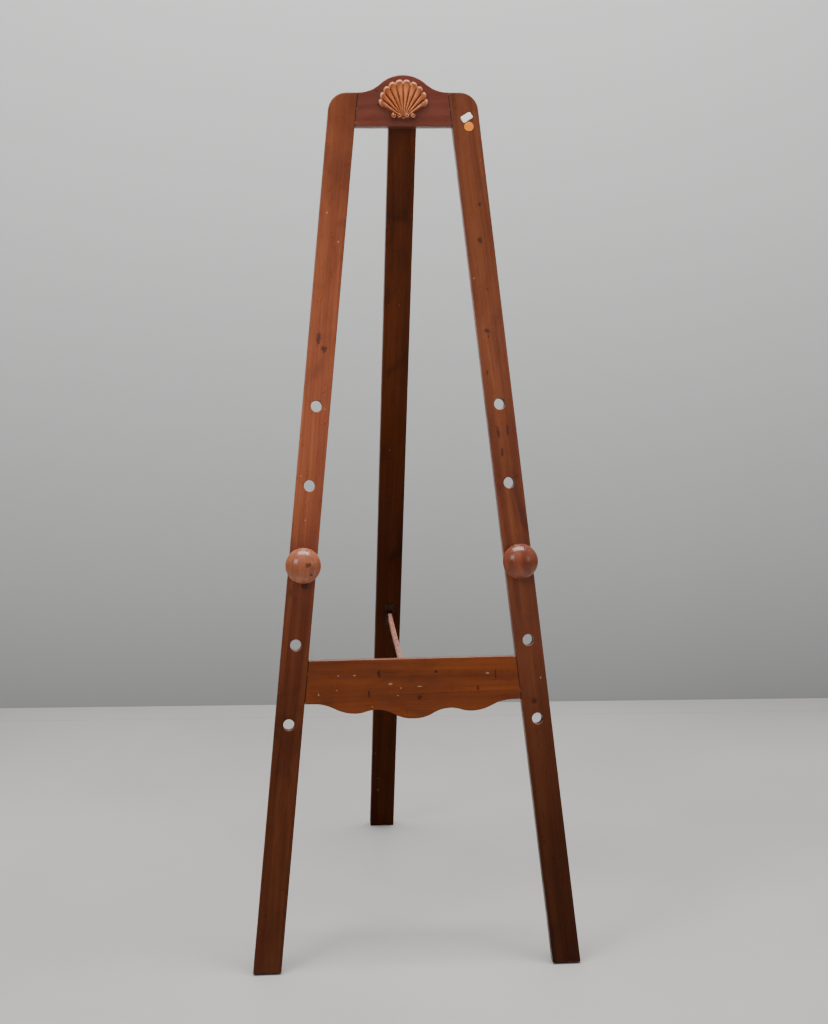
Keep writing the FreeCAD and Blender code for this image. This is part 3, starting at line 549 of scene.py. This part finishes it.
RAIL_MARKS = (
    (0.024, -0.055, 0.0065, 0.0028, "dent"), (-0.015, 0.010, 0.0045, 0.0042, "dent"),
    (0.020, 0.134, 0.0095, 0.0016, "dent"), (0.026, 0.037, 0.003, 0.0032, "dent"),
    (-0.002, 0.105, 0.006, 0.002, "dent"), (-0.007, -0.072, 0.007, 0.002, "dent"),
    (0.023, -0.121, 0.0013, 0.0013, "chip"), (0.023, -0.095, 0.0012, 0.0026, "chip"),
    (0.0, -0.124, 0.0012, 0.0012, "chip"), (-0.007, -0.153, 0.0024, 0.001, "chip"),
    (0.001, -0.020, 0.0014, 0.0014, "chip"), (0.008, -0.037, 0.0016, 0.0042, "chip"),
    (-0.011, -0.025, 0.001, 0.002, "chip"), (0.003, 0.010, 0.001, 0.004, "chip"),
    (0.022, 0.121, 0.0014, 0.004, "chip"), (-0.028, -0.067, 0.001, 0.001, "chip"),
)
LEFT_KNOB_MARKS = ((-0.007, 0.001, 0.005, 0.004, "dent"), (-0.013, -0.013, 0.003, 0.003, "dent"))


def knob_axes(side):
    """A knob's grain runs up the leg, seen on its crown."""
    along, across, through, _ = board_axes(side + "_front_leg")
    low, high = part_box(side + "_peg_knob")
    return along, across, through, (Vector(low) + Vector(high)) / 2


def leg_planes():
    """The inner faces of the front legs, as a direction into the gap and its distance."""
    planes = []
    for side, way in (("left", -1), ("right", 1)):
        node = side + "_front_leg"
        inward = board_axes(node)[1] * way
        planes.append((tuple(inward), max(v.co.dot(inward) for v in NODES[node].data.vertices)))
    return planes


def wood_nodes():
    rail_axes = board_axes("cross_rail")
    dress("left_front_leg", varnished_wood(
        "left_leg_wood", board_axes("left_front_leg"), LEG_TONES, 1.0, shine=0.55, dirt=0.45, bored=True,
        painted_shading=LEFT_PAINTED_SHADE, marks=LEFT_MARKS))
    dress("right_front_leg", varnished_wood(
        "right_leg_wood", board_axes("right_front_leg"), LEG_TONES, 4.0, shine=0.7, dirt=0.6, bored=True,
        painted_shading=RIGHT_PAINTED_SHADE, marks=RIGHT_MARKS))
    dress("rear_leg", varnished_wood(
        "rear_leg_wood", board_axes("rear_leg"), REAR_TONES, 7.0, shine=0.12, rub_level=0.15,
        painted_shading=REAR_PAINTED_SHADE))
    dress("cross_rail", varnished_wood(
        "cross_rail_wood", rail_axes, CROSS_TONES, 11.0, shine=0.22, dirt=0.3, figure=0.2,
        marks=RAIL_MARKS, joints=leg_planes()))
    dress("top_rail", varnished_wood(
        "top_rail_wood", rail_axes, TOP_TONES, 13.0, shine=0.28, dirt=0.3, figure=0.2,
        joints=leg_planes()))
    dress("stay_bar", varnished_wood(
        "stay_wood", board_axes("stay_bar"), STAY_TONES_WITH_PAINTED_REFLECTION, 17.0, gloss=0.24, figure=0.1, dirt=0.12,
        rub_level=0.1))
    for seed, side, tones, scars in ((21.0, "left", LEFT_KNOB_TONES, LEFT_KNOB_MARKS),
                                     (22.0, "right", RIGHT_KNOB_SHADED_TONES, ())):
        axes = knob_axes(side)
        dress(side + "_peg_knob", varnished_wood(
            side + "_knob_wood", axes, tones, seed, gloss=0.17, shine=0.38, figure=0.12,
            dirt=0.3, marks=scars))
        dowel = (axes[2], axes[0], axes[1], axes[3])
        dress(side + "_peg_dowel", varnished_wood(
            side + "_dowel_wood", dowel, DOWEL_TONES, seed + 4, gloss=0.5))
    for seed, joint in ((31.0, "top_rail_dowels"), (32.0, "cross_rail_dowels")):
        dress(joint, varnished_wood(joint + "_wood", rail_axes, DOWEL_TONES, seed, gloss=0.5))


# The carved shell, drawn in the plane of the front frame: across, out of the face, and up


def front_frame():
    """What turns across, forward and up into the row frame, and the point behind the foot."""
    across, _, through, _ = board_axes("cross_rail")
    up = across.cross(through)
    points = [v.co for v in NODES["shell_ornament"].data.vertices]
    back = max(p.dot(through) for p in points)
    foot = min(p.dot(up) for p in points)
    turn = Matrix((across, -through, up)).transposed().to_4x4()
    return turn, through * back + up * foot


RIBS = 10
RIB_PITCH = math.radians(12.0)
RIB_REACH = 0.0575
RIB_SIDE_REACH = 0.0395
RIB_ROUND = 0.0052
HUB_RADIUS = 0.003
HUB_RISE = 0.0004
RELIEF = 0.0058
BEDDING = 0.0003
COLUMNS_PER_RIB = 14
FAN_ROWS = 44


def rib_reach(turn):
    """How far the rim stands from the hub in a direction, before the ribs' round ends."""
    share = (2 * turn / (RIBS * RIB_PITCH)) ** 2
    return RIB_REACH - (RIB_REACH - RIB_SIDE_REACH) * share


def rib_height(across, outward):
    """A rib's relief, from its place across the rib (-1 to 1) and outward (0 to 1)."""
    bowl = 0.12 + 0.88 * max(0.0, 1 - abs(across) ** 3.0)
    scoop = 1 - 0.28 * (1 - across * across) * math.exp(-((outward - 0.78) / 0.16) ** 2)
    lip = 1 + 0.24 * math.exp(-((outward - 0.95) / 0.035) ** 2)
    over = max(0.0, (outward - 0.93) / 0.07)
    edge = math.sqrt(max(0.0, 1 - over * over))
    valley = 0.28 + 0.72 * min(1.0, outward / 0.55)
    rise = 0.62 + 0.38 * min(1.0, outward / 0.7)
    return RELIEF * (1 - valley + valley * bowl) * scoop * lip * edge * rise


def fan_points():
    """Rows of points from the hub to the rim, across all the ribs."""
    columns = RIBS * COLUMNS_PER_RIB + 1
    points = []
    for row in range(FAN_ROWS + 1):
        outward = row / FAN_ROWS
        for column in range(columns):
            place = column / COLUMNS_PER_RIB
            across = 2 * (place - math.floor(place)) - 1
            if column == columns - 1:
                across = 1.0
            turn = RIB_PITCH * (place - RIBS / 2)
            reach = rib_reach(turn) + RIB_ROUND * math.sqrt(max(0.0, 1 - across * across))
            flare = turn * (1 + 0.03 * outward * outward)
            radius = HUB_RADIUS + (reach - HUB_RADIUS) * outward
            points.append((math.sin(flare) * radius, rib_height(across, outward),
                           math.cos(flare) * radius))
    return points, columns


def shell_mesh():
    builder = bmesh.new()
    rim = builder.verts.layers.float.new("rim")
    points, columns = fan_points()
    verts = [builder.verts.new((x, y + BEDDING, z + HUB_RISE)) for x, y, z in points]
    for number, vert in enumerate(verts):
        vert[rim] = number // columns / FAN_ROWS
    for row in range(FAN_ROWS):
        for column in range(columns - 1):
            a = row * columns + column
            builder.faces.new((verts[a], verts[a + columns], verts[a + columns + 1], verts[a + 1]))
    for line in ([row * columns for row in range(FAN_ROWS + 1)],
                 [row * columns + columns - 1 for row in range(FAN_ROWS, -1, -1)],
                 [FAN_ROWS * columns + column for column in range(columns)]):
        feet = [builder.verts.new((verts[i].co.x, 0, verts[i].co.z)) for i in line]
        for one, two, low, high in zip(line, line[1:], feet, feet[1:]):
            builder.faces.new((verts[one], low, high, verts[two]))
    for side in (-1, 1):
        volute(builder, side * 0.0156, HUB_RISE + 0.0040, side, 0.0038, 0.0014, 1.6)
        volute(builder, side * 0.0062, HUB_RISE + 0.0036, -side, 0.0030, 0.0013, 1.1)
    foot_cushion(builder)
    bmesh.ops.recalc_face_normals(builder, faces=builder.faces)
    return builder


def volute(builder, x, z, side, radius, thick, turns):
    """A tube that curls in on itself."""
    steps = 44
    ring = 10
    loops = []
    for step in range(steps + 1):
        share = step / steps
        angle = math.pi / 2 + side * 2 * math.pi * turns * share
        reach = radius * (1 - 0.78 * share)
        middle = Vector((x + side * math.cos(angle) * reach, 0.0030 + 0.0016 * share,
                         z + math.sin(angle) * reach))
        outward = Vector((side * math.cos(angle), 0, math.sin(angle)))
        girth = thick * (1 - 0.45 * share)
        loop = []
        for number in range(ring):
            bend = 2 * math.pi * number / ring
            loop.append(builder.verts.new(middle + outward * math.cos(bend) * girth
                                          + Vector((0, 1, 0)) * math.sin(bend) * girth))
        loops.append(loop)
    for one, two in zip(loops, loops[1:]):
        for number in range(ring):
            nearby = (number + 1) % ring
            builder.faces.new((one[number], one[nearby], two[nearby], two[number]))
    builder.faces.new(loops[0])
    builder.faces.new(loops[-1])


def foot_cushion(builder):
    """The rounded ground that the scrolls lie on and the ribs spring from."""
    columns = 40
    rows = 14
    grid = []
    for row in range(rows + 1):
        share = row / rows
        line = []
        for column in range(columns + 1):
            across = 2 * column / columns - 1
            wave = 0.0008 * math.cos(across * 3 * math.pi)
            low = HUB_RISE - 0.0004 + 0.0040 * across * across - wave
            high = HUB_RISE + 0.0125 - 0.0045 * across * across
            swell = math.sqrt(max(0.0, 1 - (2 * share - 1) ** 4)) * (1 - abs(across) ** 5)
            line.append(builder.verts.new((0.0135 * across, 0.0022 * swell,
                                           low + (high - low) * share)))
        grid.append(line)
    for near, far in zip(grid, grid[1:]):
        for column in range(columns):
            builder.faces.new((near[column], far[column], far[column + 1], near[column + 1]))


def carved_shell():
    turn, origin = front_frame()
    builder = shell_mesh()
    mesh = bpy.data.meshes.new("carved_shell")
    builder.to_mesh(mesh)
    builder.free()
    mesh.transform(Matrix.Translation(origin) @ turn)
    for polygon in mesh.polygons:
        polygon.use_smooth = True
    axes = board_axes("cross_rail")
    low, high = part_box("shell_ornament")
    centre = (Vector(low) + Vector(high)) / 2
    upright = (axes[1], axes[0], axes[2], centre)
    mesh.materials.append(varnished_wood("shell_wood", upright, SHELL_TONES, 35.0, gloss=0.26,
                                         shine=0.36, figure=0.15, dirt=0.15, rub_level=0.7,
                                         hollow_shade=0.9, rim="rim"))
    thing = bpy.data.objects.new("carved_shell", mesh)
    bpy.context.collection.objects.link(thing)
    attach(thing, "front_frame")
    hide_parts("shell_ornament")


# Blank stickers on the right leg


def paper(name, tint, seed):
    s = Shade(name)
    spot = s.vector("ADD", s.place(), (seed, seed, seed))
    grain = s.noise(spot, 900.0, 4.0, 0.6)
    grime = s.spread(s.noise(spot, 160.0, 4.0, 0.6), 0.5, 0.8)
    colour = s.mix(s.spread(grain, 0.3, 0.7), tuple(c * 0.93 for c in tint), tint)
    colour = s.mix(s.math("MULTIPLY", grime, 0.35), colour, tuple(c * 0.7 for c in tint))
    return s.finish(Base_Color=colour, Roughness=s.spread(grain, 0.3, 0.7, 0.5, 0.7),
                    Normal=s.bump(grain, 0.2, 0.00005))


def sticker(name, across, up, half_wide, half_high, corner, slant, tint):
    """A thin blank label with round corners, stuck on the face of the right leg."""
    along, sideways, through, centre = board_axes("right_front_leg")
    face = min(v.co.dot(through) for v in NODES["right_front_leg"].data.vertices)
    level = face - centre.dot(through)
    builder = bmesh.new()
    rim = []
    for x_way, y_way, start in ((1, 1, 0), (-1, 1, 90), (-1, -1, 180), (1, -1, 270)):
        for step in range(9):
            angle = math.radians(start + 90 * step / 8)
            rim.append((x_way * (half_wide - corner) + corner * math.cos(angle),
                        y_way * (half_high - corner) + corner * math.sin(angle)))
    turn = math.radians(slant)
    loops = []
    for lift, shrink in ((0.0, 1.0), (0.00025, 1.0), (0.0004, 0.96), (0.00045, 0.5)):
        loop = []
        for x, y in rim:
            x, y = x * shrink, y * shrink
            x, y = x * math.cos(turn) - y * math.sin(turn), x * math.sin(turn) + y * math.cos(turn)
            place = centre + sideways * (across + x) + along * (up + y)
            loop.append(builder.verts.new(place + through * (level - lift)))
        loops.append(loop)
    for one, two in zip(loops, loops[1:]):
        for number in range(len(rim)):
            nearby = (number + 1) % len(rim)
            builder.faces.new((one[number], one[nearby], two[nearby], two[number]))
    builder.faces.new(loops[-1])
    bmesh.ops.recalc_face_normals(builder, faces=builder.faces)
    mesh = bpy.data.meshes.new(name)
    builder.to_mesh(mesh)
    builder.free()
    mesh.materials.append(paper(name + "_paper", tint, half_wide * 100))
    thing = bpy.data.objects.new(name, mesh)
    bpy.context.collection.objects.link(thing)
    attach(thing, "front_frame")


def metal_nodes():
    dark = metal("dark_steel", (0.10, 0.085, 0.075), (0.05, 0.028, 0.018), 1.0)
    brass = metal("aged_brass", (0.42, 0.29, 0.12), (0.12, 0.075, 0.03), 2.0, 0.32)
    bronze = metal("brown_bronze", (0.055, 0.028, 0.016), (0.022, 0.010, 0.006), 3.0, 0.5)
    for node in ("hinge_rail_leaf", "hinge_leg_leaf", "hinge_pin", "rail_hook"):
        dress(node, dark)
    for node in ("stay_bracket", "stay_bracket_screws", "stay_pivot_pin"):
        dress(node, bronze)
    for node in ("hinge_rail_screws", "hinge_leg_screws"):
        dress(node, brass)


def stage():
    """A pale floor and a pale wall behind it, the wall darker toward the floor with painted shade, and
    clear when seen from its back.
    """
    end = HIGH.y + WALL_BEHIND
    turn = math.tan(WALL_TURN)
    left, right = end + 9 * turn, end - 9 * turn
    floor = plane("floor", [(-9, -9, 0), (9, -9, 0), (9, 9, 0), (-9, 9, 0)])
    wall = plane("backdrop", [(-9, left, 0), (9, right, 0), (9, right, 7), (-9, left, 7)])

    s = Shade("floor_paint")
    place = s.place()
    cloud = s.noise(place, 1.1, 4.0, 0.55)
    specks = s.spread(s.noise(place, 130.0, 2.0), 0.76, 0.8)
    colour = s.mix(s.spread(cloud, 0.3, 0.7), (0.475, 0.464, 0.444), (0.53, 0.521, 0.50))
    ahead = s.vector("DOT_PRODUCT", place, (turn, 1.0, 0.0))
    seam = s.math("ABSOLUTE", s.math("SUBTRACT", ahead, end - 0.11))
    colour = s.mix(s.spread(seam, 0.005, 0.001, 0.0, 0.35), colour, (0.3, 0.3, 0.3))
    colour = s.mix(s.math("MULTIPLY", specks, 0.4), colour, (0.85, 0.84, 0.82))
    s.finish(Base_Color=colour, Roughness=s.spread(cloud, 0.3, 0.7, 0.42, 0.6),
             Normal=s.bump(s.noise(place, 60.0, 3.0), 0.1, 0.001))
    floor.data.materials.append(s.material)

    s = Shade("wall_paint")
    place = s.place()
    cloud = s.noise(place, 0.9, 3.0, 0.5)
    up = s.split(place)[2]
    # painted shade: the wall darkens toward the floor
    level = s.ramp(s.spread(up, 0.0, 2.0, smooth=False),
                   [(0.0, (0.29,) * 3), (0.2, (0.42,) * 3), (0.6, (0.64,) * 3), (1.0, (0.78,) * 3)])
    colour = s.mix(1.0, s.mix(cloud, (0.94, 0.94, 0.945), (1.0, 1.0, 1.0)), level, "MULTIPLY")
    s.finish(Base_Color=colour, Roughness=0.8,
             Normal=s.bump(s.noise(place, 70.0, 3.0), 0.08, 0.001))
    see_through_back(s)
    wall.data.materials.append(s.material)


def see_through_back(s):
    output = next(n for n in s.tree.nodes if n.type == "OUTPUT_MATERIAL")
    painted = output.inputs["Surface"].links[0].from_socket
    choose = s.add("ShaderNodeMixShader")
    s.put(choose.inputs[0], s.add("ShaderNodeNewGeometry").outputs["Backfacing"])
    s.put(choose.inputs[1], painted)
    s.put(choose.inputs[2], s.add("ShaderNodeBsdfTransparent").outputs[0])
    s.put(output.inputs["Surface"], choose.outputs[0])


def plane(name, corners):
    mesh = bpy.data.meshes.new(name)
    mesh.from_pydata(corners, [], [tuple(range(len(corners)))])
    thing = bpy.data.objects.new(name, mesh)
    bpy.context.collection.objects.link(thing)
    return thing


camera()
lights()
stage()
wood_nodes()
metal_nodes()
carved_shell()
sticker("label", -0.0023, 0.669, 0.0055, 0.0092, 0.0028, 65.0, (0.93, 0.92, 0.84))
sticker("dot", -0.0042, 0.654, 0.0076, 0.0076, 0.0075, 0.0, (0.88, 0.22, 0.002))
